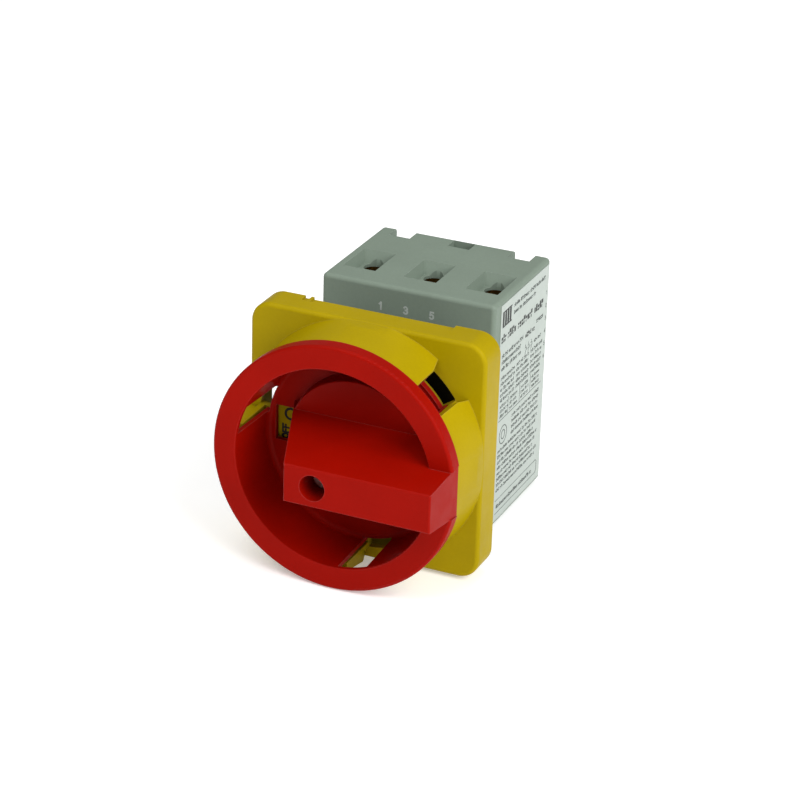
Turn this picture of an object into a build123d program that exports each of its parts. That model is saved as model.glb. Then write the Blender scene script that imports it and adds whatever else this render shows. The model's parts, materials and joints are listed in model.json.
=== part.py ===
from build123d import *
import math
import os

os.makedirs("parts", exist_ok=True)

# Rotary isolator switch for a panel door, 3 poles, with a padlockable handle.
# Frame: X to the right and Z up as seen from the front, Y into the panel.
# The origin is on the shaft's axis, in the plane of the panel's front face.
# The handle is shown at OFF, and turns 90 degrees clockwise to ON.

# Driving dimensions, in millimetres and degrees. A "height" stands in front of
# the panel face, towards -Y. A "y" is a plain coordinate.

plate_side = 64.0
plate_height = 9.0
plate_corner = 5.5
plate_edge = 1.1
plate_wall = 1.8

collar_base_radius = 32.5
collar_top_radius = 30.2
collar_inner_radius = 28.0
collar_height = 22.0
slot_angles = (42.8, 162.8, 282.8)
slot_half_angle = 8.8
slot_inner_radius = 24.5
slot_hole_radius = 29.3
slot_foot_half_angle = 11.0
slot_foot_height = 12.8

rim_radius = 32.7
rim_height = 28.0
rim_back_height = 24.0
rim_wall = 1.6
rim_edge = 0.8
mouth_radius = 26.5
dish_radius = 25.9
dish_wall = 1.0
floor_height = 11.0
floor_under_height = 9.6
disc_radius = 18.35
disc_height = 15.0
disc_under_height = 13.0
disc_foot_radius = 18.95
disc_under_radius = 17.65
disc_bore_radius = 17.15
window_half_angle = 8.7
window_top_height = 27.0

grip_height = 39.2
grip_front_half = 5.1
grip_left = -7.6
grip_right = 31.15
side_draft = 0.111
left_draft = 0.383
right_draft = 0.045
grip_edge = 0.5

panel_gap = 3.0
bush_radius = 11.0
bush_bore = 8.6
bush_height = 12.0
hub_radius = 7.2
hub_back_height = 4.0
running_clearance = 0.08
shaft_fit = 0.03
press_fit = 0.02
thread_fit = 0.05
seat_gap = 0.1
free_gap = 0.3

latch_side = 44.0
latch_wall = 2.2
stop_plate_y = 10.2
stop_plate_thickness = 1.8
lug_angle = 225.0
lug_half_angle = 12.0
handle_travel = 90.0

body_width = 48.0
body_height = 64.0
body_front = 15.5
body_rear = 53.5
body_edge = 1.2
side_wall = 2.0
end_wall = 4.1
pole_pitch = 17.0
poles = (-pole_pitch, 0.0, pole_pitch)

shaft_side = 7.0
drum_radius = 9.4
drum_bore = 6.4
drum_front = 12.6
drum_rear = 27.5
spindle_radius = 6.0
pin_radius = 1.5
pin_y = 24.4
contact_gap = 3.6
carriage_travel = 3.55

bar_front = 28.5
bar_thickness = 1.2
bar_half = 2.6
tip_radius = 1.9
tip_z = 9.2
bridge_front = 35.2
bridge_half_length = 11.0
wire_y = 32.4
wire_radius = 2.75
clamp_bottom = 20.5
clamp_top = 27.8
clamp_screw_z = 23.9

body_half = body_height / 2
cavity_top = body_half - end_wall
plate_half = plate_side / 2
sides = (-1, 1)


def depth_plane(y):
    """Plane parallel to the panel at y. Its normal points to the front."""
    return Plane.XZ.offset(-y)


def block(x, y, z, mode=Mode.ADD):
    """Box between pairs of limits."""
    size = [high - low for low, high in (x, y, z)]
    middle = [(low + high) / 2 for low, high in (x, y, z)]
    with Locations(tuple(middle)):
        Box(*size, mode=mode)


def rod(radius, y, x=0.0, z=0.0, mode=Mode.ADD):
    """Cylinder along Y between two limits."""
    with Locations(Location((x, (y[0] + y[1]) / 2, z), (90, 0, 0))):
        Cylinder(radius, y[1] - y[0], mode=mode)


def around(centre, half):
    """Pair of limits either side of a centre."""
    return (centre - half, centre + half)


def mirrored(low, high, side):
    """Pair of limits, or the same pair on the other side of zero."""
    return (low, high) if side > 0 else (-high, -low)


def sector(inner, outer, middle, half_angle):
    """Ring sector in the current sketch, with angles from +X towards +Z."""
    start = middle - half_angle
    with BuildLine() as outline:
        near = CenterArc((0, 0), inner, start, 2 * half_angle)
        far = CenterArc((0, 0), outer, start, 2 * half_angle)
        Line(near @ 0, far @ 0)
        Line(near @ 1, far @ 1)
    make_face(outline.edges())


def corner(sketch, radius, height):
    """Vertex of a revolved profile nearest to a radius and a height."""
    return sketch.vertices().sort_by_distance((radius, -height, 0))[0]


def save(piece, name):
    """Label a finished piece and write it."""
    piece.part.label = name
    export_step(piece.part, f"parts/{name}.step")


# ---------------------------------------------------------------- front plate

boss_radius = 18.0
gasket_height = 1.2
notch_depth = 0.7
notch_length = 3.0
notch_left = -21.0
notch_right = 20.0
rib_width = 0.8

with BuildPart() as front_plate:
    with BuildSketch(depth_plane(0)):
        RectangleRounded(plate_side, plate_side, plate_corner)
    extrude(amount=plate_height)
    fillet(front_plate.faces().sort_by(Axis.Y)[0].edges(), plate_edge)
    inside = plate_side - 2 * plate_wall
    with BuildSketch(depth_plane(0)):
        RectangleRounded(inside, inside, plate_corner - plate_wall)
    extrude(amount=plate_height - plate_wall, mode=Mode.SUBTRACT)
    # Boss that presses the gasket on the panel.
    with BuildSketch(depth_plane(-gasket_height)):
        Circle(boss_radius)
    extrude(amount=plate_height - gasket_height - plate_wall / 2)
    # Collar round the handle.
    with BuildSketch(Plane.XY):
        with BuildLine():
            Polyline(
                (collar_inner_radius, -plate_height + plate_wall),
                (collar_inner_radius, -collar_height),
                (collar_top_radius, -collar_height),
                (collar_base_radius, -plate_height),
                (plate_half - plate_edge, -plate_height + plate_wall),
                close=True,
            )
        make_face()
    revolve(axis=Axis.Y)
    # The collar's foot is flush with the middle of each side of the plate.
    with BuildSketch(depth_plane(1)):
        RectangleRounded(plate_side, plate_side, plate_corner)
    extrude(amount=collar_height + 2, mode=Mode.INTERSECT)
    # Padlock slots through the collar, each over an opening in the plate.
    with BuildSketch(depth_plane(-plate_height)):
        for angle in slot_angles:
            sector(slot_inner_radius, plate_side, angle, slot_half_angle)
    extrude(amount=collar_height, mode=Mode.SUBTRACT)
    for angle in slot_angles:
        with BuildSketch(depth_plane(-slot_foot_height)):
            sector(slot_hole_radius, plate_side, angle, slot_half_angle)
        with BuildSketch(depth_plane(-plate_height)):
            sector(slot_hole_radius, plate_side, angle, slot_foot_half_angle)
        loft(mode=Mode.SUBTRACT)
    with BuildSketch(depth_plane(0)):
        for angle in slot_angles:
            sector(slot_inner_radius, slot_hole_radius, angle, slot_half_angle)
    extrude(amount=collar_height, mode=Mode.SUBTRACT)
    rod(bush_radius + free_gap, (-plate_height - 1, 1), mode=Mode.SUBTRACT)
    # Shallow notch along the top edge, with a small rib at its left end.
    block((notch_left, notch_right), (-notch_length, 1),
          (plate_half - notch_depth, plate_half + 1), Mode.SUBTRACT)
    block((notch_left + 2 * rib_width, notch_left + 3 * rib_width), (-notch_length, 0),
          (plate_half - plate_wall, plate_half))
save(front_plate, "front_plate")

with BuildPart() as panel_gasket:
    rod(boss_radius, (-gasket_height, 0))
    rod(bush_radius + free_gap, (-gasket_height - 1, 1), mode=Mode.SUBTRACT)
save(panel_gasket, "panel_gasket")

nut_radius = 15.8
nut_thickness = 3.4
nut_notches = 6
nut_notch = 3.0
nut_chamfer = 0.3

with BuildPart() as mounting_nut:
    with BuildSketch(depth_plane(-plate_height)):
        Circle(nut_radius)
        Circle(bush_radius + press_fit, mode=Mode.SUBTRACT)
        with PolarLocations(nut_radius, nut_notches):
            Rectangle(nut_notch, nut_notch, mode=Mode.SUBTRACT)
    extrude(amount=nut_thickness)
    chamfer(mounting_nut.faces().sort_by(Axis.Y)[0].edges().filter_by(GeomType.CIRCLE), nut_chamfer)
save(mounting_nut, "mounting_nut")

seal_front = -9.0
seal_rear = -7.0

with BuildPart() as shaft_seal:
    rod(bush_bore, (seal_front, seal_rear))
    rod(hub_radius + running_clearance, (seal_front - 1, seal_rear + 1), mode=Mode.SUBTRACT)
save(shaft_seal, "shaft_seal")

# --------------------------------------------------------------------- handle

window_rear_height = 9.0
legend_window_x = (-23.6, -16.0)
legend_window_z = (-3.6, 5.9)
screw_well_radius = 3.4
screw_seat_height = 30.5
screw_hole_radius = 2.2
socket_height = 22.6
end_cut = 10.0
window_overlap = 0.3
lip_edge = 0.3
root_fillet = 1.5
disc_edge = 0.4
grip_hollow_height = 35.0
grip_hollow_half = 3.2
grip_hollow_x = (9.5, 24.0)
skirt_radius = rim_radius - 1.7

with BuildPart() as handle:
    # Grip bar, wider towards its root.
    for height in (floor_height, grip_height):
        drop = grip_height - height
        left = grip_left - left_draft * drop
        right = grip_right + right_draft * drop
        with BuildSketch(depth_plane(-height)):
            with Locations(((left + right) / 2, 0)):
                Rectangle(right - left, 2 * (grip_front_half + side_draft * drop))
    loft()
    fillet(handle.edges().group_by(Axis.Y)[0], grip_edge)
    # The grip reaches past the dish only above the back of the rim.
    with BuildSketch(Plane.XY):
        with BuildLine():
            Polyline(
                (dish_radius + 1, 0),
                (dish_radius + 1, -rim_back_height),
                (2 * rim_radius, -rim_back_height),
                (2 * rim_radius, 0),
                close=True,
            )
        make_face()
    revolve(axis=Axis.Y, mode=Mode.SUBTRACT)
    rod(disc_bore_radius, (-disc_under_height, 0), mode=Mode.SUBTRACT)
    # Rim, dish, raised disc and hub in one turned profile.
    with BuildSketch(Plane.XY) as profile:
        with BuildLine():
            Polyline(
                (disc_foot_radius, -floor_height),
                (dish_radius, -floor_height),
                (mouth_radius, -rim_height),
                (rim_radius, -rim_height),
                (rim_radius, -rim_back_height),
                (skirt_radius, -rim_back_height),
                (skirt_radius, -rim_height + rim_wall),
                (mouth_radius + dish_wall, -rim_height + rim_wall),
                (dish_radius + dish_wall, -floor_under_height),
                (disc_under_radius, -floor_under_height),
                (disc_bore_radius, -disc_under_height),
                (hub_radius, -disc_under_height),
                (hub_radius, -hub_back_height),
                (0, -hub_back_height),
                (0, -disc_height),
                (disc_radius, -disc_height),
                close=True,
            )
        make_face()
        fillet(corner(profile, rim_radius, rim_height), rim_edge)
        fillet(corner(profile, mouth_radius, rim_height), lip_edge)
        fillet(corner(profile, dish_radius, floor_height), root_fillet)
        fillet(corner(profile, disc_radius, disc_height), disc_edge)
    revolve(axis=Axis.Y)
    # The end of the grip carries on down the rim as one flat.
    for height in (rim_back_height - 1, grip_height + 1):
        drop = grip_height - height
        with BuildSketch(depth_plane(-height)):
            with Locations((grip_right + right_draft * drop, 0)):
                Rectangle(end_cut, 2 * (grip_front_half + side_draft * drop),
                          align=(Align.MIN, Align.CENTER))
    loft(mode=Mode.SUBTRACT)
    # Padlock windows through the dish wall, open to its back.
    with BuildSketch(depth_plane(-window_rear_height)):
        for angle in slot_angles:
            sector(dish_radius - window_overlap, mouth_radius + dish_wall + window_overlap, angle,
                   window_half_angle)
    extrude(amount=window_top_height - window_rear_height, mode=Mode.SUBTRACT)
    # Window in the trough, over the printed legend.
    block(legend_window_x, (-disc_height - 2, -floor_under_height + 1), legend_window_z,
          Mode.SUBTRACT)
    # Screw well, screw hole and the socket for the shaft.
    rod(screw_well_radius, (-grip_height - 1, -screw_seat_height), mode=Mode.SUBTRACT)
    rod(screw_hole_radius, (-screw_seat_height - 1, -socket_height + 1), mode=Mode.SUBTRACT)
    block(around(0, shaft_side / 2 + shaft_fit), (-socket_height, 0), around(0, shaft_side / 2 + shaft_fit),
          Mode.SUBTRACT)
    # The grip is hollow from behind.
    block(grip_hollow_x, (-grip_hollow_height, -floor_under_height + 1),
          around(0, grip_hollow_half), Mode.SUBTRACT)
save(handle, "handle")

screw_head_radius = 3.1
screw_head_height = 2.3
screw_head_edge = 0.6
screw_shank_radius = 1.95
screw_end = -12.0
recess_width = 0.9
recess_length = 3.6
recess_depth = 1.3

with BuildPart() as handle_screw:
    head_top = -screw_seat_height - screw_head_height
    rod(screw_head_radius, (head_top, -screw_seat_height))
    fillet(handle_screw.edges().sort_by(Axis.Y)[0], screw_head_edge)
    rod(screw_shank_radius, (-screw_seat_height, screw_end))
    for x_half, z_half in ((recess_length, recess_width), (recess_width, recess_length)):
        block(around(0, x_half / 2), (head_top - 1, head_top + recess_depth),
              around(0, z_half / 2), Mode.SUBTRACT)
save(handle_screw, "handle_screw")

shaft_front = -22.5
shaft_rear = 15.6
shaft_chamfer = 0.4

with BuildPart() as drive_shaft:
    block(around(0, shaft_side / 2), (shaft_front, shaft_rear), around(0, shaft_side / 2))
    chamfer(drive_shaft.edges().filter_by(Axis.Y), shaft_chamfer)
    rod(screw_shank_radius + thread_fit, (shaft_front - 1, screw_end + 1), mode=Mode.SUBTRACT)
save(drive_shaft, "drive_shaft")

# ------------------------------------------------------------ latch mechanism

latch_corner = 4.0
latch_edge = 0.8
bush_chamfer = 0.6
ledge = (16.0, 20.5)
screw_places = [(8.5 * sx, 17.0 * sz) for sx in sides for sz in sides]
screw_boss_radius = 3.0
screw_radius = 1.5
spring_x = 7.75
spring_thickness = 0.5
spring_half_length = 13.4
spring_y = (5.8, 9.4)
rib_x = (6.8, 10.4)
rib_z = (11.5, 14.6)
latch_inside = latch_side - 2 * latch_wall

with BuildPart() as latch_housing:
    with BuildSketch(depth_plane(body_front)):
        RectangleRounded(latch_side, latch_side, latch_corner)
    extrude(amount=body_front - panel_gap)
    fillet(latch_housing.faces().sort_by(Axis.Y)[0].edges(), latch_edge)
    with BuildSketch(depth_plane(body_front)):
        RectangleRounded(latch_inside, latch_inside, latch_corner - latch_wall)
    extrude(amount=body_front - panel_gap - latch_wall, mode=Mode.SUBTRACT)
    for x, z in screw_places:
        rod(screw_boss_radius, (panel_gap + 1, stop_plate_y + stop_plate_thickness), x, z)
    for side_x in sides:
        for side_z in sides:
            block(mirrored(*rib_x, side_x), (panel_gap + 1, stop_plate_y), mirrored(*rib_z, side_z))
            # Ledge under each corner of the stop plate.
            block(mirrored(*ledge, side_x), (panel_gap + 1, stop_plate_y), mirrored(*ledge, side_z))
        block(mirrored(spring_x - seat_gap, spring_x + spring_thickness + seat_gap, side_x),
              (panel_gap + latch_wall, stop_plate_y + 1), around(0, spring_half_length + seat_gap),
              Mode.SUBTRACT)
    for x, z in screw_places:
        rod(screw_radius + thread_fit, (panel_gap + 2, body_front), x, z, Mode.SUBTRACT)
    # Threaded mounting bush.
    rod(bush_radius, (-bush_height, panel_gap + 1))
    chamfer(latch_housing.faces().sort_by(Axis.Y)[0].edges().filter_by(GeomType.CIRCLE), bush_chamfer)
    rod(bush_bore, (-bush_height - 1, panel_gap + latch_wall + 1), mode=Mode.SUBTRACT)
save(latch_housing, "latch_housing")

cam_side = 15.0
cam_corner_radius = 9.8
cam_y = (5.6, 9.6)
lug_radius = 10.5
cam_hub_radius = 6.2
cam_hub_lift = 0.3
cam_gap = 0.5

with BuildPart() as latch_cam:
    block(around(0, cam_side / 2), cam_y, around(0, cam_side / 2))
    rod(cam_corner_radius, (cam_y[0] - 1, cam_y[1] + 1), mode=Mode.INTERSECT)
    rod(cam_hub_radius, (cam_y[1], stop_plate_y + stop_plate_thickness + cam_hub_lift))
    # Lug that meets the two ends of the stop plate's window.
    with BuildSketch(depth_plane(stop_plate_y + stop_plate_thickness)):
        sector(cam_hub_radius - 1, lug_radius, lug_angle, lug_half_angle)
    extrude(amount=stop_plate_y + stop_plate_thickness - cam_y[1])
    block(around(0, shaft_side / 2 + shaft_fit), (0, drum_front), around(0, shaft_side / 2 + shaft_fit),
          Mode.SUBTRACT)
save(latch_cam, "latch_cam")

for name, side in (("latch_spring_left", -1), ("latch_spring_right", 1)):
    with BuildPart() as latch_spring:
        block(mirrored(spring_x, spring_x + spring_thickness, side), spring_y,
              around(0, spring_half_length))
    save(latch_spring, name)

stop_clearance = 1.0
stop_half_angle = handle_travel / 2 + lug_half_angle + stop_clearance
fitted_side = latch_inside - 0.4
fitted_corner = 1.6
drum_gap = 0.4

with BuildPart() as stop_plate:
    with BuildSketch(depth_plane(stop_plate_y + stop_plate_thickness)):
        RectangleRounded(fitted_side, fitted_side, fitted_corner)
        Circle(cam_hub_radius + cam_gap, mode=Mode.SUBTRACT)
        with Locations(*screw_places):
            Circle(screw_boss_radius + seat_gap, mode=Mode.SUBTRACT)
    extrude(amount=stop_plate_thickness)
    with BuildSketch(depth_plane(stop_plate_y + stop_plate_thickness + 1)):
        sector(cam_hub_radius - 1, lug_radius + cam_gap, lug_angle - handle_travel / 2, stop_half_angle)
    extrude(amount=stop_plate_thickness + 2, mode=Mode.SUBTRACT)
save(stop_plate, "stop_plate")

with BuildPart() as latch_cover:
    with BuildSketch(depth_plane(body_front)):
        RectangleRounded(fitted_side, fitted_side, fitted_corner)
        Circle(drum_radius + drum_gap, mode=Mode.SUBTRACT)
        with Locations(*screw_places):
            Circle(screw_radius + seat_gap, mode=Mode.SUBTRACT)
    extrude(amount=body_front - stop_plate_y - stop_plate_thickness)
save(latch_cover, "latch_cover")

# ------------------------------------------------------ drum cam and carriage

drum_floor = 16.0
slot_step = 7.5
slot_clearance = 0.35
drum_slots = 2

with BuildPart() as drive_cam:
    rod(drum_radius, (drum_front, drum_rear))
    rod(drum_bore, (drum_floor, drum_rear + 1), mode=Mode.SUBTRACT)
    block(around(0, shaft_side / 2 + shaft_fit), (0, drum_floor + 1), around(0, shaft_side / 2 + shaft_fit),
          Mode.SUBTRACT)
    # Two quarter-turn helical slots: the pin moves forward as the drum turns to ON.
    for step in range(round(handle_travel / slot_step) + 1):
        turn = step * slot_step
        slot_y = pin_y - carriage_travel * turn / handle_travel
        for start in range(0, 360, 360 // drum_slots):
            angle = math.radians(start + turn)
            outward = (math.cos(angle), 0, math.sin(angle))
            with BuildSketch(Plane(origin=(0, slot_y, 0), z_dir=outward)):
                Circle(pin_radius + slot_clearance)
            extrude(amount=drum_radius + 1, mode=Mode.SUBTRACT)
save(drive_cam, "drive_cam")

beam_front = 41.0
beam_rear = 45.0
beam_half_height = 4.5
tower_half = 4.4
tower_front = 31.4
window_half = 3.1
spindle_front = 20.0

with BuildPart() as contact_carrier:
    rod(spindle_radius, (spindle_front, beam_rear))
    block(around(0, pole_pitch + tower_half), (beam_front, beam_rear), around(0, beam_half_height))
    for x in (-pole_pitch, pole_pitch):
        block(around(x, tower_half), (tower_front, beam_front), around(0, beam_half_height))
    for x in poles:
        block(around(x, window_half), (bridge_front, beam_front), around(0, 2 * spindle_radius),
              Mode.SUBTRACT)
    with Locations(Location((0, pin_y, 0), (0, 90, 0))):
        Cylinder(pin_radius + press_fit, 3 * spindle_radius, mode=Mode.SUBTRACT)
save(contact_carrier, "contact_carrier")

guide_radius = 13.5

with BuildPart() as follower_pin:
    with Locations(Location((0, pin_y, 0), (0, 90, 0))):
        Cylinder(pin_radius, 2 * (guide_radius - free_gap))
save(follower_pin, "follower_pin")

bridge_thickness = 1.2
bridge_tip_height = 0.8
bridge_rear = bridge_front + bridge_thickness
fixed_tip_rear = bridge_front - bridge_tip_height - contact_gap
coil_wire = 0.55
coil_radius = 2.0
coil_pitch = 1.3
coil_inset = 0.6 * coil_wire
bridge_chamfer = 0.6

for number, x in enumerate(poles, start=1):
    with BuildPart() as contact_bridge:
        block(around(x, bar_half), (bridge_front, bridge_rear), around(0, bridge_half_length))
        chamfer(contact_bridge.edges().filter_by(Axis.Y), bridge_chamfer)
    save(contact_bridge, f"contact_bridge_{number}")

    with BuildPart() as contact_spring:
        with BuildLine() as coil:
            Helix(coil_pitch, beam_front - bridge_rear - 2 * coil_inset, coil_radius,
                  center=(x, bridge_rear + coil_inset, 0), direction=(0, 1, 0))
        with BuildSketch(Plane(origin=coil.line @ 0, z_dir=coil.line % 0)):
            Circle(coil_wire / 2)
        sweep(path=coil.line, is_frenet=True)
    save(contact_spring, f"contact_spring_{number}")

with BuildPart() as bridge_tips:
    for x in poles:
        for side in sides:
            rod(tip_radius, (bridge_front - bridge_tip_height, bridge_front), x, side * tip_z)
save(bridge_tips, "bridge_tips")

# ------------------------------------------------------------ contact housing

wall_window_half = 6.6
barrier_x = 8.5
barrier_thickness = 1.6
cover_front = 50.0
cover_half_width = body_width / 2 - side_wall - 0.2
cover_half_height = cavity_top - 0.2
funnel_width = 9.0
funnel_front = 23.0
funnel_rear = 36.2
funnel_depth = 3.3
funnel_floor_width = 7.2
funnel_floor_front = 23.8
funnel_floor_rear = 34.3
pocket_front = 48.0
pocket_half = 3.05
pocket_depth = 3.2
clamp_front = 27.2
clamp_half = 4.3
block_bottom = 14.3
post_radius = 2.8
front_wall = 2.0
clamp_gap = 0.2
pocket_web = 1.0

housing_inside_x = (-body_width / 2 + side_wall, body_width / 2 - side_wall)
housing_inside_z = (-cavity_top, cavity_top)

with BuildPart() as contact_housing:
    block((-body_width / 2, body_width / 2), (body_front, body_rear), (-body_half, body_half))
    fillet(contact_housing.edges(), body_edge)
    block(housing_inside_x, (bar_front, body_rear + 1), housing_inside_z, Mode.SUBTRACT)
    block(housing_inside_x, (body_front + front_wall, bar_front), around(0, block_bottom),
          Mode.SUBTRACT)
    # Barriers between the poles, with a window for the carriage, and screw posts.
    for side in sides:
        for side_z in sides:
            block(around(side * barrier_x, barrier_thickness / 2),
                  (body_front + 1, cover_front), mirrored(wall_window_half, cavity_top + 1, side_z))
    for x, z in screw_places:
        rod(post_radius, (body_front + 1, cover_front), x, z)
    # Bearing ring of the drum, slotted for the follower pin.
    with BuildSketch(depth_plane(drum_rear)):
        Circle(guide_radius)
    extrude(amount=drum_rear - body_front - 1)
    rod(drum_radius + running_clearance, (body_front - 1, drum_rear + 1), mode=Mode.SUBTRACT)
    block(around(0, guide_radius + 1), (body_front + front_wall + 1, drum_rear + 1),
          around(0, pin_radius + seat_gap), Mode.SUBTRACT)
    for x, z in screw_places:
        rod(screw_radius + seat_gap, (body_front - 1, body_rear), x, z, Mode.SUBTRACT)
    for side in sides:
        for x in poles:
            # Funnel, wire hole, and the seat of the clamp behind it.
            with BuildSketch(Plane.XY.offset(side * body_half)):
                with Locations((x, (funnel_front + funnel_rear) / 2)):
                    Rectangle(funnel_width, funnel_rear - funnel_front)
            with BuildSketch(Plane.XY.offset(side * (body_half - funnel_depth))):
                with Locations((x, (funnel_floor_front + funnel_floor_rear) / 2)):
                    Rectangle(funnel_floor_width, funnel_floor_rear - funnel_floor_front)
            loft(mode=Mode.SUBTRACT)
            with Locations((x, wire_y, side * (body_half - end_wall / 2))):
                Cylinder(wire_radius, end_wall + 1, mode=Mode.SUBTRACT)
            block(around(x, clamp_half + clamp_gap), (clamp_front - seat_gap, bar_front + 1),
                  mirrored(clamp_bottom - clamp_gap, cavity_top, side), Mode.SUBTRACT)
            # Rear pocket, open at the back on the outer poles.
            pocket_rear = body_rear - pocket_web if x == 0 else body_rear + 1
            block(around(x, pocket_half), (pocket_front, pocket_rear),
                  mirrored(body_half - pocket_depth, body_half + 1, side), Mode.SUBTRACT)
save(contact_housing, "contact_housing")

access_radius = 3.4
head_radius = 2.8
head_front = 51.0
head_sink = 0.2
cover_chamfer = 0.4
driver_half_length = 2.0
driver_half_width = 0.4
driver_depth = 1.2

with BuildPart() as rear_cover:
    block(around(0, cover_half_width), (cover_front, body_rear), around(0, cover_half_height))
    chamfer(rear_cover.faces().sort_by(Axis.Y)[-1].edges(), cover_chamfer)
    for x in poles:
        for side in sides:
            rod(access_radius, (cover_front - 1, body_rear + 1), x, side * clamp_screw_z,
                Mode.SUBTRACT)
    for x, z in screw_places:
        rod(screw_radius + seat_gap, (cover_front - 1, body_rear + 1), x, z, Mode.SUBTRACT)
        rod(head_radius + seat_gap, (head_front, body_rear + 1), x, z, Mode.SUBTRACT)
save(rear_cover, "rear_cover")

with BuildPart() as assembly_screws:
    for x, z in screw_places:
        rod(head_radius, (head_front, body_rear - head_sink), x, z)
        rod(screw_radius, (panel_gap + 3, head_front), x, z)
        for x_half, z_half in ((driver_half_length, driver_half_width),
                               (driver_half_width, driver_half_length)):
            block(around(x, x_half), (body_rear - driver_depth, body_rear), around(z, z_half),
                  Mode.SUBTRACT)
save(assembly_screws, "assembly_screws")

# ------------------------------------------------------------------ terminals

bar_inner_z = 7.0
bar_outer_z = 27.0
bar_rear = bar_front + bar_thickness
clamp_rear = 38.0
clamp_mouth = (28.4, 35.8)
clamp_mouth_half = 2.95
clamp_screw_front = 35.5
clamp_screw_head = 44.0
clamp_head_rear = 46.4
clamp_screw_radius = 1.95
clamp_head_radius = 3.1
driver_slot = 0.5
clamp_chamfer = 0.5

# Line terminals 1, 3, 5 are on top, load terminals 2, 4, 6 below.
for column, x in enumerate(poles):
    for side in sides:
        number = 2 * column + (1 if side > 0 else 2)
        with BuildPart() as fixed_contact:
            block(around(x, bar_half), (bar_front, bar_rear),
                  mirrored(bar_inner_z, bar_outer_z, side))
        save(fixed_contact, f"fixed_contact_{number}")

        with BuildPart() as wire_clamp:
            block(around(x, clamp_half), (clamp_front, clamp_rear),
                  mirrored(clamp_bottom, clamp_top, side))
            chamfer(wire_clamp.edges().filter_by(Axis.Z), clamp_chamfer)
            block(around(x, clamp_mouth_half), clamp_mouth, around(0, body_half), Mode.SUBTRACT)
            rod(clamp_screw_radius + thread_fit, (clamp_mouth[0] + 1, clamp_rear + 1), x,
                side * clamp_screw_z, Mode.SUBTRACT)
        save(wire_clamp, f"wire_clamp_{number}")

with BuildPart() as terminal_screws:
    for x in poles:
        for side in sides:
            z = side * clamp_screw_z
            rod(clamp_screw_radius, (clamp_screw_front, clamp_screw_head), x, z)
            rod(clamp_head_radius, (clamp_screw_head, clamp_head_rear), x, z)
            block(around(x, clamp_head_radius), (clamp_head_rear - 1, clamp_head_rear + 1),
                  around(z, driver_slot), Mode.SUBTRACT)
save(terminal_screws, "terminal_screws")

with BuildPart() as fixed_tips:
    for x in poles:
        for side in sides:
            rod(tip_radius, (bar_rear, fixed_tip_rear), x, side * tip_z)
save(fixed_tips, "fixed_tips")

# ---------------------------------------------------------------------- label

label_thickness = 0.15
label_y = (19.5, 52.2)
label_half_height = 30.6

with BuildPart() as rating_label:
    block((body_width / 2, body_width / 2 + label_thickness), label_y,
          around(0, label_half_height))
save(rating_label, "rating_label")
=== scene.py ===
import json
import math
import random

import bmesh
import bpy
from mathutils import Matrix, Vector


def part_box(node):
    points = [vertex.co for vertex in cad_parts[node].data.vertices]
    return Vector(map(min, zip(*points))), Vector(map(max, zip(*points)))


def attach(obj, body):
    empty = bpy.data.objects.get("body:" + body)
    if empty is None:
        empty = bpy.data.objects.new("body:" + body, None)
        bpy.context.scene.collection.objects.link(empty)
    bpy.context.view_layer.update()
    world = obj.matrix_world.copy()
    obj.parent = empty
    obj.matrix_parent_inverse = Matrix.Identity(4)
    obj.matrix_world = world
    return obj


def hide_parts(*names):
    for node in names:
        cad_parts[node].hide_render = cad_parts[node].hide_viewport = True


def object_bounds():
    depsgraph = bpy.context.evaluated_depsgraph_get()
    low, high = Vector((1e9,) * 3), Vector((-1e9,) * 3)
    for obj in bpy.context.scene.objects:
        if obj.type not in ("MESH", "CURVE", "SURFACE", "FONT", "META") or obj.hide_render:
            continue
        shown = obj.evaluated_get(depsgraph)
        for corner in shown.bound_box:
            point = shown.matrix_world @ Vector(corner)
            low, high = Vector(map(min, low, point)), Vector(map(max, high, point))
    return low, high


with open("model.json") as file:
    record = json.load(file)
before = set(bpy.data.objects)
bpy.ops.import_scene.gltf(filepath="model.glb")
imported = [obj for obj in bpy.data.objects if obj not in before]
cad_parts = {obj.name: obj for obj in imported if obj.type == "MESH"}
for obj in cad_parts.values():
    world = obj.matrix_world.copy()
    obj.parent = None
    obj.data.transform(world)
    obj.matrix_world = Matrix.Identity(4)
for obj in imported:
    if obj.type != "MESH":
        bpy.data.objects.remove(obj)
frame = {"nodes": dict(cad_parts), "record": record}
cad_low, cad_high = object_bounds()

MM = 0.001


# ---------------------------------------------------------------- camera, floor, light

CAMERA_PLACE = Vector((0.264413, -0.597647, 0.307097))
CAMERA_AZIMUTH = 0.408774
CAMERA_ELEVATION = 0.429481
CAMERA_ROLL = 0.031435
CAMERA_LENS = 128.5615
SENSOR = 36.0
FLOOR_GAP = 0.2 * MM
FLOOR_SIZE = 6.0
FLOOR_GLOW = 0.3


def make_camera():
    """Camera at the viewing angle: azimuth turns it to the right, elevation lifts it."""
    flat = math.cos(CAMERA_ELEVATION)
    forward = Vector((-math.sin(CAMERA_AZIMUTH) * flat, math.cos(CAMERA_AZIMUTH) * flat,
                      -math.sin(CAMERA_ELEVATION)))
    right = forward.cross(Vector((0, 0, 1))).normalized()
    up = right.cross(forward)
    rolled_right = math.cos(CAMERA_ROLL) * right + math.sin(CAMERA_ROLL) * up
    rolled_up = math.cos(CAMERA_ROLL) * up - math.sin(CAMERA_ROLL) * right
    turn = Matrix((rolled_right, rolled_up, -forward)).transposed()
    data = bpy.data.cameras.new("camera")
    data.lens = CAMERA_LENS
    data.sensor_width = SENSOR
    data.clip_start = 0.01
    camera = bpy.data.objects.new("camera", data)
    camera.matrix_world = Matrix.Translation(CAMERA_PLACE) @ turn.to_4x4()
    bpy.context.scene.collection.objects.link(camera)
    bpy.context.scene.camera = camera


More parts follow.
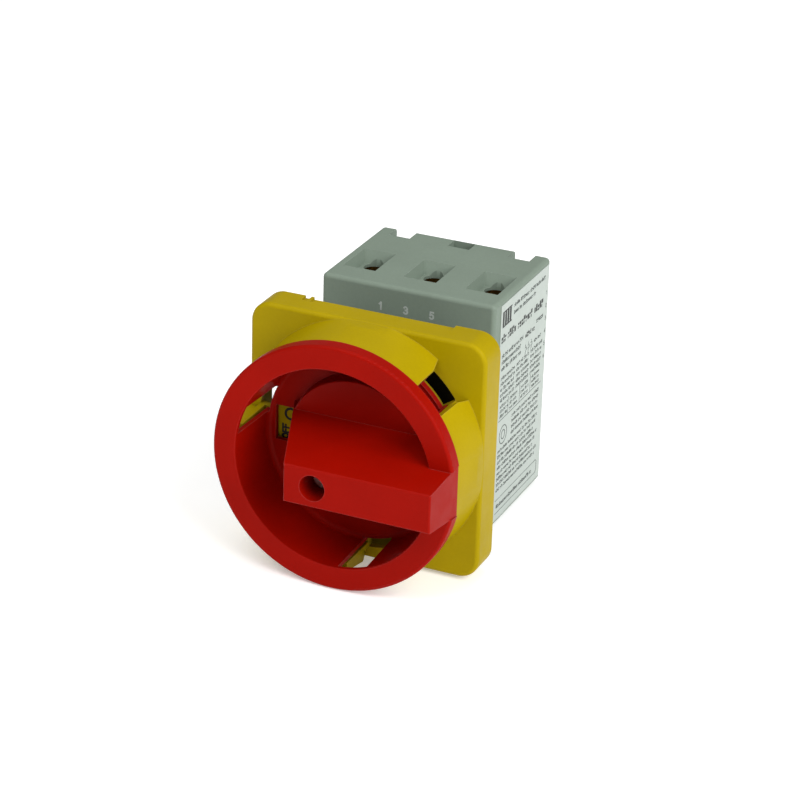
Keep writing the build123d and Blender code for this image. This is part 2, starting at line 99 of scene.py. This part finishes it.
def make_floor():
    mesh = bpy.data.meshes.new("floor")
    half = FLOOR_SIZE / 2
    z = cad_low.z - FLOOR_GAP
    mesh.from_pydata([(-half, -half, z), (half, -half, z), (half, half, z), (-half, half, z)],
                     [], [(0, 1, 2, 3)])
    floor = bpy.data.objects.new("floor", mesh)
    bpy.context.scene.collection.objects.link(floor)
    material = bpy.data.materials.new("floor")
    material.use_nodes = True
    shader = material.node_tree.nodes["Principled BSDF"]
    shader.inputs["Base Color"].default_value = (0.9, 0.9, 0.9, 1)
    shader.inputs["Roughness"].default_value = 0.9
    shader.inputs["Specular IOR Level"].default_value = 0.1
    shader.inputs["Emission Color"].default_value = (1, 1, 1, 1)
    shader.inputs["Emission Strength"].default_value = FLOOR_GLOW
    mesh.materials.append(material)


SKY_STRENGTH = 0.3
LIGHT_TARGET = Vector((0, 0.01, 0))
# Name, place and side of the square in metres, power in watts.
LIGHTS = (
    ("key_right", (0.75, -0.35, 0.55), 0.7, 10.5),
    ("top", (-0.1, 0.1, 0.95), 0.9, 3.0),
    ("front_fill", (-0.25, -0.6, 0.85), 0.6, 4.0),
)


def area_light(name, place, side, power):
    data = bpy.data.lights.new(name, "AREA")
    data.shape = "RECTANGLE"
    data.size, data.size_y = side, side
    data.energy = power
    light = bpy.data.objects.new(name, data)
    place = Vector(place)
    light.location = place
    light.rotation_euler = (LIGHT_TARGET - place).to_track_quat("-Z", "Y").to_euler()
    bpy.context.scene.collection.objects.link(light)


def make_light():
    world = bpy.data.worlds.new("studio")
    bpy.context.scene.world = world
    world.use_nodes = True
    background = world.node_tree.nodes["Background"]
    background.inputs["Color"].default_value = (1, 1, 1, 1)
    background.inputs["Strength"].default_value = SKY_STRENGTH
    for name, place, side, power in LIGHTS:
        area_light(name, place, side, power)
    bpy.context.scene.view_settings.view_transform = "Standard"


# ---------------------------------------------------------------- materials


class Nodes:
    """Short way to add and join shader nodes."""

    def __init__(self, name):
        self.material = bpy.data.materials.new(name)
        self.material.use_nodes = True
        self.tree = self.material.node_tree
        self.shader = self.tree.nodes["Principled BSDF"]
        self.place = self.add("ShaderNodeTexCoord").outputs["Object"]

    def add(self, kind, **settings):
        node = self.tree.nodes.new(kind)
        for key, value in settings.items():
            setattr(node, key, value)
        return node

    def join(self, source, target):
        self.tree.links.new(source, target)

    def noise(self, scale, detail=3.0, stretch=None):
        node = self.add("ShaderNodeTexNoise")
        node.inputs["Scale"].default_value = scale
        node.inputs["Detail"].default_value = detail
        source = self.place
        if stretch:
            mapping = self.add("ShaderNodeMapping")
            mapping.inputs["Scale"].default_value = stretch
            self.join(self.place, mapping.inputs["Vector"])
            source = mapping.outputs["Vector"]
        self.join(source, node.inputs["Vector"])
        return node.outputs["Fac"]

    def spread(self, value, low, high, start=0.3, end=0.7):
        node = self.add("ShaderNodeMapRange")
        node.inputs["From Min"].default_value = start
        node.inputs["From Max"].default_value = end
        node.inputs["To Min"].default_value = low
        node.inputs["To Max"].default_value = high
        self.join(value, node.inputs["Value"])
        return node.outputs["Result"]

    def blend(self, factor, first, second):
        """Colour mix; each end is a colour or a socket."""
        node = self.add("ShaderNodeMix", data_type="RGBA")
        self.join(factor, node.inputs["Factor"])
        for socket, value in ((node.inputs["A"], first), (node.inputs["B"], second)):
            if isinstance(value, tuple):
                socket.default_value = (*value, 1)
            else:
                self.join(value, socket)
        return node.outputs["Result"]

    def math(self, operation, first, second):
        node = self.add("ShaderNodeMath", operation=operation, use_clamp=True)
        for socket, value in zip(node.inputs, (first, second)):
            if isinstance(value, float):
                socket.default_value = value
            else:
                self.join(value, socket)
        return node.outputs["Value"]

    def edges(self, radius, gain):
        """1 along convex and concave edges, 0 on open faces."""
        bevel = self.add("ShaderNodeBevel", samples=4)
        bevel.inputs["Radius"].default_value = radius
        geometry = self.add("ShaderNodeNewGeometry")
        dot = self.add("ShaderNodeVectorMath", operation="DOT_PRODUCT")
        self.join(bevel.outputs["Normal"], dot.inputs[0])
        self.join(geometry.outputs["Normal"], dot.inputs[1])
        return self.spread(dot.outputs["Value"], gain, 0.0, 0.8, 1.0)

    def bump(self, layers):
        """Chain of (height, distance) bumps into the shader's normal."""
        normal = None
        for height, distance in layers:
            node = self.add("ShaderNodeBump")
            node.inputs["Strength"].default_value = 1.0
            node.inputs["Distance"].default_value = distance
            self.join(height, node.inputs["Height"])
            if normal:
                self.join(normal, node.inputs["Normal"])
            normal = node.outputs["Normal"]
        self.join(normal, self.shader.inputs["Normal"])

    def finish(self, colour, roughness):
        self.join(colour, self.shader.inputs["Base Color"])
        self.join(roughness, self.shader.inputs["Roughness"])
        return self.material


def shade(colour, factor):
    return tuple(min(1.0, channel * factor) for channel in colour)


# Noise scales, per metre of surface.
CLOUD_SCALE = 55
DIMPLE_SCALE = 90
GLOSS_SCALE = 240
TARNISH_SCALE = 260
SPECK_SCALE = 1500
LINE_SCALE = 2400
GRAIN_SCALE = 3600
# Widths of the paler edge bands and heights of bumps, in metres; on plastic the paler band is a
# painted highlight.
PLASTIC_EDGE = 0.35 * MM
METAL_EDGE = 0.15 * MM
DIMPLE_HEIGHT = 0.03 * MM
LINE_HEIGHT = 0.004 * MM


def plastic(name, colour, roughness, specular, grain=0.004, flow=0.06, edge_highlight=0.5):
    """Moulded plastic: fine spark-eroded grain, faint flow marks and paler edges, a painted
    highlight.
    """
    nodes = Nodes(name)
    cloud = nodes.noise(CLOUD_SCALE, 2)
    speck = nodes.noise(SPECK_SCALE, 2)
    fine = nodes.noise(GRAIN_SCALE, 2)
    tint = nodes.blend(nodes.spread(cloud, 0, 1), shade(colour, 1 - flow), shade(colour, 1 + flow))
    tint = nodes.blend(nodes.spread(speck, 0, 0.12), tint, shade(colour, 0.6))
    # Painted highlight: a paler colour in patches along the edges stands in for light catching the
    # rounded edges.
    edge_highlight_mask = nodes.math("MULTIPLY", nodes.edges(PLASTIC_EDGE, edge_highlight), nodes.spread(speck, 0.4, 1.0))
    pale = tuple(channel * 0.95 + 0.06 for channel in colour)
    tint = nodes.blend(edge_highlight_mask, tint, pale)
    rough = nodes.spread(nodes.noise(GLOSS_SCALE, 4), roughness - 0.05, roughness + 0.07)
    nodes.shader.inputs["Specular IOR Level"].default_value = specular
    nodes.bump([(fine, grain * MM), (nodes.noise(DIMPLE_SCALE, 1), DIMPLE_HEIGHT)])
    return nodes.finish(tint, rough)


def metal(name, colour, roughness, stretch, tarnish=0.25):
    """Drawn or plated metal: fine lines, cloudy tarnish and edges brighter than the face."""
    nodes = Nodes(name)
    lines = nodes.noise(LINE_SCALE, 3, stretch)
    cloud = nodes.noise(TARNISH_SCALE, 4)
    tint = nodes.blend(nodes.spread(cloud, 0, 1), shade(colour, 1 - tarnish), colour)
    tint = nodes.blend(nodes.edges(METAL_EDGE, 0.6), tint, shade(colour, 1.25))
    rough = nodes.spread(cloud, roughness + 0.12, roughness - 0.05)
    nodes.shader.inputs["Metallic"].default_value = 1.0
    nodes.bump([(lines, LINE_HEIGHT)])
    return nodes.finish(tint, rough)


def make_materials():
    return {
        "red_plastic": plastic("red_plastic", (0.265, 0.003, 0.0003), 0.4, 0.04, edge_highlight=0.7),
        "yellow_plastic": plastic("yellow_plastic", (0.335, 0.245, 0.0008), 0.4, 0.045, edge_highlight=0.6),
        "grey_plastic": plastic("grey_plastic", (0.175, 0.22, 0.176), 0.5, 0.12, 0.006, 0.04),
        "black_plastic": plastic("black_plastic", (0.008, 0.008, 0.008), 0.45, 0.3, 0.006),
        "white_plastic": plastic("white_plastic", (0.6, 0.58, 0.53), 0.4, 0.4),
        "rubber": plastic("rubber", (0.012, 0.012, 0.013), 0.75, 0.2, 0.008, 0.15, 0.1),
        "zinc_steel": metal("zinc_steel", (0.62, 0.61, 0.56), 0.28, (1, 14, 1)),
        "spring_steel": metal("spring_steel", (0.5, 0.5, 0.5), 0.25, (14, 14, 1)),
        # Painted shade: copper kept far darker than bright copper, so the bars deep in the wire
        # holes read as shaded.
        "copper": metal("copper", (0.24, 0.15, 0.05), 0.3, (14, 14, 1)),
        "silver": metal("silver", (0.8, 0.79, 0.75), 0.35, (1, 1, 1)),
        "brass": metal("brass", (0.72, 0.5, 0.16), 0.3, (1, 1, 10)),
        "label_paper": plastic("label_paper", (0.37, 0.415, 0.38), 0.35, 0.25, 0.001, 0.02, 0.1),
        "print_black": plastic("print_black", (0.014, 0.016, 0.014), 0.5, 0.2, 0.001, 0.02, 0.0),
        "print_grey": plastic("print_grey", (0.045, 0.055, 0.05), 0.5, 0.2, 0.001, 0.02, 0.0),
        "print_white": plastic("print_white", (0.36, 0.4, 0.37), 0.5, 0.2, 0.001, 0.02, 0.0),
    }


def dress_nodes(materials):
    """Give each CAD node the material of its slot in the record."""
    for part in frame["record"]["subparts"]:
        node = frame["nodes"][part["node"]]
        node.data.materials.clear()
        node.data.materials.append(materials[part["material_slot"]])


# ---------------------------------------------------------------- softened mouldings

BODY_OF = {}
for body_name, members in frame["record"]["behaviour"]["bodies"].items():
    for member in members:
        BODY_OF[member] = body_name


# Width in mm of the rounded edges of each moulding.
ROUNDING = {
    "handle": 0.3,
    "front_plate": 0.3,
    "contact_housing": 0.28,
    "latch_housing": 0.3,
    "rear_cover": 0.25,
}
ROUNDING_SEGMENTS = 3
SHARP_ANGLE = math.radians(32)
FLAT_ANGLE = math.radians(0.6)
WELD_DISTANCE = 0.002 * MM


def soften(name, width):
    """Clean copy of a CAD node with rounded edges, shown in its place."""
    source = frame["nodes"][name]
    mesh = source.data.copy()
    mesh.name = name + "_fine"
    work = bmesh.new()
    work.from_mesh(mesh)
    bmesh.ops.remove_doubles(work, verts=work.verts, dist=WELD_DISTANCE)
    bmesh.ops.dissolve_degenerate(work, edges=work.edges, dist=WELD_DISTANCE)
    bmesh.ops.dissolve_limit(work, angle_limit=FLAT_ANGLE, verts=work.verts, edges=work.edges)
    work.to_mesh(mesh)
    work.free()
    piece = bpy.data.objects.new(name + "_fine", mesh)
    piece.matrix_world = source.matrix_world
    bpy.context.scene.collection.objects.link(piece)
    bevel = piece.modifiers.new("rounding", "BEVEL")
    bevel.width = width * MM
    bevel.segments = ROUNDING_SEGMENTS
    bevel.limit_method = "ANGLE"
    bevel.angle_limit = SHARP_ANGLE
    bevel.use_clamp_overlap = True
    bevel.harden_normals = True
    mesh.shade_smooth()
    mesh.set_sharp_from_angle(angle=SHARP_ANGLE)
    weighted = piece.modifiers.new("normals", "WEIGHTED_NORMAL")
    weighted.keep_sharp = True
    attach(piece, BODY_OF[name])
    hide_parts(name)


# ---------------------------------------------------------------- strokes and print

PRINT_RELIEF = 0.02
PRINT_STEP = 0.001
PRINT_LAYERS = 12
LETTER_GAP = 0.14
FULL_TURN_STEPS = 36


def add_piece(name, work, material, body, smooth=False):
    """Object from a finished bmesh, riding on a body."""
    mesh = bpy.data.meshes.new(name)
    work.to_mesh(mesh)
    work.free()
    mesh.materials.append(material)
    if smooth:
        mesh.shade_smooth()
    piece = bpy.data.objects.new(name, mesh)
    bpy.context.scene.collection.objects.link(piece)
    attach(piece, body)


def arc(x, y, rx, ry, start, end, steps=14):
    """Points of an elliptical arc, angles in degrees."""
    points = []
    for step in range(steps + 1):
        turn = math.radians(start + (end - start) * step / steps)
        points.append((x + rx * math.cos(turn), y + ry * math.sin(turn)))
    return points


# Width of each glyph, and its lines in a box 1 high.
GLYPHS = {
    "O": (0.8, [arc(0.4, 0.5, 0.34, 0.46, 90, 450, 28)]),
    "F": (0.62, [[(0.08, 0), (0.08, 0.96), (0.58, 0.96)], [(0.08, 0.5), (0.5, 0.5)]]),
    "N": (0.76, [[(0.08, 0), (0.08, 0.96), (0.66, 0.04), (0.66, 1)]]),
    "I": (0.3, [[(0.15, 0), (0.15, 1)]]),
    "1": (0.45, [[(0.05, 0.74), (0.28, 0.96), (0.28, 0)]]),
    "2": (0.62, [arc(0.3, 0.7, 0.25, 0.26, 170, -40) + [(0.05, 0.04), (0.58, 0.04)]]),
    "3": (0.62, [arc(0.28, 0.73, 0.24, 0.23, 150, -90) + arc(0.28, 0.26, 0.27, 0.24, 90, -150)]),
    "4": (0.66, [[(0.48, 0), (0.48, 0.96), (0.05, 0.3), (0.62, 0.3)]]),
    "5": (0.62, [[(0.54, 0.96), (0.12, 0.96), (0.09, 0.54)]
                 + arc(0.28, 0.32, 0.27, 0.29, 125, -150)]),
    "6": (0.62, [arc(0.3, 0.3, 0.24, 0.27, 0, 360, 20), arc(0.52, 0.32, 0.46, 0.62, 180, 105)]),
}


class Print:
    """Flat strokes and bars on a face, gathered into one mesh.

    origin is the middle of the print, across and up are its directions in the face.
    """

    def __init__(self, name, origin, across, up):
        self.name = name
        self.origin = Vector(origin) * MM
        self.across = Vector(across)
        self.up = Vector(up)
        self.out = self.across.cross(self.up)
        self.mesh = bmesh.new()
        self.layer = 0

    def corner(self, x, y, lift):
        offset = x * self.across + y * self.up + lift * self.out
        return self.mesh.verts.new(self.origin + offset * MM)

    def outline(self, points):
        """Raised tile with the given outline, counter-clockwise from outside."""
        # Strokes cross each other, so each stands a hair off the last.
        self.layer = (self.layer + 1) % PRINT_LAYERS
        top = [self.corner(x, y, PRINT_RELIEF + PRINT_STEP * self.layer) for x, y in points]
        foot = [self.corner(x, y, 0.0) for x, y in points]
        self.mesh.faces.new(top)
        for index in range(len(points)):
            after = (index + 1) % len(points)
            self.mesh.faces.new((foot[index], foot[after], top[after], top[index]))

    def bar(self, x, y, width, height):
        self.outline([(x, y), (x + width, y), (x + width, y + height), (x, y + height)])

    def stroke(self, points, width):
        """Line of a given width with a square joint at each point."""
        half = width / 2
        for (x0, y0), (x1, y1) in zip(points, points[1:]):
            length = math.hypot(x1 - x0, y1 - y0)
            if length == 0:
                continue
            dx, dy = (x1 - x0) / length * half, (y1 - y0) / length * half
            self.outline([(x0 - dx + dy, y0 - dy - dx), (x1 + dx + dy, y1 + dy - dx),
                          (x1 + dx - dy, y1 + dy + dx), (x0 - dx - dy, y0 - dy + dx)])

    def text(self, words, x, y, height, weight, turn=0.0):
        """Words from the glyph table, centred on a point and turned by degrees."""
        total = sum(GLYPHS[letter][0] for letter in words) + LETTER_GAP * (len(words) - 1)
        c, s = math.cos(math.radians(turn)), math.sin(math.radians(turn))
        pen = -total / 2
        for letter in words:
            width, lines = GLYPHS[letter]
            for line in lines:
                local = [((pen + u) * height, (v - 0.5) * height) for u, v in line]
                self.stroke([(x + c * u - s * v, y + s * u + c * v) for u, v in local], weight)
            pen += width + LETTER_GAP

    def ring(self, x, y, radius, weight):
        self.stroke(arc(x, y, radius, radius, 0, 360, FULL_TURN_STEPS), weight)

    def filler(self, x, y, width, height, weight, source):
        """Row of small blank blocks in groups: print from afar, which spells nothing."""
        pen = x
        since_gap = 0
        while pen < x + width:
            step = height * source.uniform(0.3, 0.55)
            since_gap += 1
            if since_gap > 3 and source.random() < 0.24:
                pen += 1.1 * step
                since_gap = 0
                continue
            tall = height * source.choice((0.72, 0.72, 1.0))
            split = tall * source.choice((0.0, 0.42, 0.55))
            slit = weight * 0.5
            self.bar(pen, y + split + slit, step, tall - split - slit)
            if split:
                self.bar(pen, y, step * source.choice((0.45, 1.0)), split - slit)
            pen += step + weight

    def finish(self, material):
        add_piece(self.name, self.mesh, material, "base")


FRONT_ACROSS, FRONT_UP = (1, 0, 0), (0, 0, 1)
SIDE_ACROSS, SIDE_UP = (0, 1, 0), (0, 0, 1)
LEGEND_FACE = -9.0
LEGEND_WEIGHT = 0.5
LEGEND_BOLD = 0.62
LEGEND_LETTER = 1.7
NUMBER_PLACES = (-7.4, -0.4, 6.8)
NUMBER_HEIGHT = 1.9
NUMBER_WEIGHT = 0.42
NUMBER_Z = 26.2


def node_face(name, axis, side):
    """Coordinate in mm of a CAD node's face: axis 0 to 2, side 0 low or 1 high."""
    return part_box(name)[side][axis] / MM


def make_legend():
    """O and OFF behind the window at rest, I and ON where the window comes to at ON."""
    legend = Print("switch_legend", (0, LEGEND_FACE, 0), FRONT_ACROSS, FRONT_UP)
    legend.ring(-20.4, 3.0, 1.45, LEGEND_BOLD)
    legend.text("OFF", -21.8, -2.0, LEGEND_LETTER, LEGEND_WEIGHT, 90)
    legend.text("I", 3.0, 20.4, 3.0, LEGEND_BOLD)
    legend.text("ON", -1.6, 21.8, LEGEND_LETTER, LEGEND_WEIGHT)
    legend.finish(materials["print_black"])


def make_terminal_numbers():
    """Pale moulded-in numbers of the line terminals above the plate, load terminals below."""
    face = node_face("contact_housing", 1, 0)
    numbers = Print("terminal_numbers", (0, face, 0), FRONT_ACROSS, FRONT_UP)
    for column, x in enumerate(NUMBER_PLACES):
        for number, z in ((2 * column + 1, NUMBER_Z), (2 * column + 2, -NUMBER_Z)):
            numbers.text(str(number), x, z, NUMBER_HEIGHT, NUMBER_WEIGHT)
    numbers.finish(materials["print_white"])


LABEL_SEED = 7
SMALL_PRINT = 0.16
ROW_HEIGHT = 0.95
HEADER_HEIGHT = 1.05
RATING_HEIGHT = 1.1
SYMBOL_LINE = 0.14
TABLE_LINE = 0.11
ROUNDEL_LINE = 0.24


def make_label_print():
    """Small print, rating table and a three-pole switch symbol on the side label.

    Every place is y and z in mm; rows run to the right from their lower left end.
    """
    face = node_face("rating_label", 0, 1)
    right = node_face("rating_label", 1, 1)
    source = random.Random(LABEL_SEED)
    bold = Print("label_print_bold", (face, 0, 0), SIDE_ACROSS, SIDE_UP)
    fine = Print("label_print_fine", (face, 0, 0), SIDE_ACROSS, SIDE_UP)

    def row(y, z, width, height=ROW_HEIGHT):
        fine.filler(y, z, width, height, SMALL_PRINT, source)

    # Plain framed block, two header rows, then the large row.
    bold.bar(20.6, 24.2, 6.2, 0.3)
    bold.bar(20.6, 28.3, 6.2, 0.3)
    for step in range(4):
        bold.bar(20.6 + 1.55 * step, 24.2, 1.1, 4.2)
    row(28.2, 27.3, 21.5, HEADER_HEIGHT)
    row(28.2, 25.3, 15.0, HEADER_HEIGHT)
    bold.filler(20.4, 20.0, 28.0, 2.2, 0.3, source)
    fine.filler(44.6, 16.7, 4.2, 1.35, 0.2, source)
    # Ratings, with the symbol of a switch-disconnector beside them.
    row(21.2, 15.6, 14.5, RATING_HEIGHT)
    row(21.2, 13.8, 13.0, RATING_HEIGHT)
    row(21.2, 12.0, 13.5, RATING_HEIGHT)
    bold.filler(37.2, 15.2, 6.0, 1.4, 0.24, source)
    for pole in range(3):
        y = 37.6 + 2.0 * pole
        fine.stroke([(y, 10.0), (y, 10.9), (y + 0.8, 12.4)], SYMBOL_LINE)
        fine.stroke([(y, 12.4), (y, 13.3)], SYMBOL_LINE)
        fine.stroke([(y - 0.3, 12.4), (y + 0.3, 12.4)], SYMBOL_LINE)
    fine.stroke([(38.0, 11.7), (42.4, 11.7)], 0.1)
    row(43.6, 11.6, 5.4)
    for step in range(5):
        z = 9.4 - 1.55 * step
        row(21.2, z, 9.5)
        row(31.8, z, 8.6)
        row(41.6, z, 7.4)
    for step in range(3):
        z = 1.5 - 1.4 * step
        for y in (21.4, 28.0, 35.7, 43.2):
            row(y, z, 5.2, 0.85)
    for y in (27.0, 34.9, 42.3):
        fine.stroke([(y, 2.9), (y, -1.8)], TABLE_LINE)
    fine.stroke([(20.9, -2.0), (50.0, -2.0)], SMALL_PRINT)
    # A plain roundel beside rows of small print, then a framed line along the foot.
    for step in range(4):
        row(30.0, -4.2 - 1.65 * step, 18.8)
    fine.ring(24.4, -6.8, 2.5, ROUNDEL_LINE)
    fine.ring(24.4, -6.8, 1.2, ROUNDEL_LINE)
    for step in range(8):
        row(21.2, -11.2 - 1.6 * step, 27.4 - 1.3 * (step % 3))
    fine.stroke([(21.0, -28.6), (49.3, -28.6), (49.9, -28.0), (49.9, -25.4), (49.3, -24.8),
                 (21.0, -24.8)], SYMBOL_LINE)
    row(21.8, -27.3, 24.5, HEADER_HEIGHT)
    # Terminal numbers down the label's rear edge.
    for number in range(6):
        fine.text(str(number + 1), right - 1.1, 23.0 - 3.6 * number, 1.1, SMALL_PRINT)
    bold.finish(materials["print_black"])
    fine.finish(materials["print_grey"])


MARK_STEPS = 32
MARK_CENTRE = 0.02


def ring_mark(name, place, out, radius, crest, material, body):
    """Small ring round a dimple, left by a moulding gate or an ejector pin.

    Rows of the profile are shares of the radius and lifts in mm; crest is the ring's lift.
    """
    place, out = Vector(place) * MM, Vector(out).normalized()
    side = out.orthogonal().normalized()
    up = out.cross(side)
    mesh = bmesh.new()
    rows = []
    profile = [(0.0, -0.02), (0.45, -0.02), (0.6, 0.01), (0.8, crest), (1.0, 0.0), (1.06, -0.03)]
    for share, lift in profile:
        row = []
        for step in range(MARK_STEPS):
            turn = 2 * math.pi * step / MARK_STEPS
            spoke = side * math.cos(turn) + up * math.sin(turn)
            spot = place + spoke * (max(share, MARK_CENTRE) * radius * MM)
            row.append(mesh.verts.new(spot + out * lift * MM))
        rows.append(row)
    mesh.faces.new(rows[0])
    for inner, outer in zip(rows, rows[1:]):
        for step in range(MARK_STEPS):
            after = (step + 1) % MARK_STEPS
            mesh.faces.new((inner[step], outer[step], outer[after], inner[after]))
    bmesh.ops.recalc_face_normals(mesh, faces=mesh.faces)
    add_piece(name, mesh, material, body, smooth=True)


PLATE_UNDERSIDE = -7.2
PLATE_EJECTORS = ((-22.4, -22.4), (22.4, -22.4), (22.4, 22.4), (-22.4, 22.4))
HOUSING_EJECTORS = (-8.5, 8.5)


def make_mould_marks():
    """Gate and ejector marks; places are in mm."""
    red, yellow, grey = (materials[key] for key in ("red_plastic", "yellow_plastic", "grey_plastic"))
    ring_mark("gate_grip", (31.76, -25.6, -1.6), (1, -0.045, 0), 0.5, 0.03, red, "rotor")
    ring_mark("gate_plate", (32.0, -3.9, -0.6), (1, 0, 0), 0.6, -0.02, yellow, "base")
    for number, (x, z) in enumerate(PLATE_EJECTORS):
        ring_mark(f"ejector_plate_{number}", (x, PLATE_UNDERSIDE, z), (0, 1, 0), 1.4, 0.03,
                  yellow, "base")
    for number, x in enumerate(HOUSING_EJECTORS):
        ring_mark(f"ejector_housing_{number}", (x, 15.5, -29.0), (0, -1, 0), 1.1, 0.03, grey,
                  "base")


# ---------------------------------------------------------------- build

make_camera()
make_floor()
make_light()
materials = make_materials()
dress_nodes(materials)
for moulding, rounding in ROUNDING.items():
    soften(moulding, rounding)
make_legend()
make_terminal_numbers()
make_label_print()
make_mould_marks()
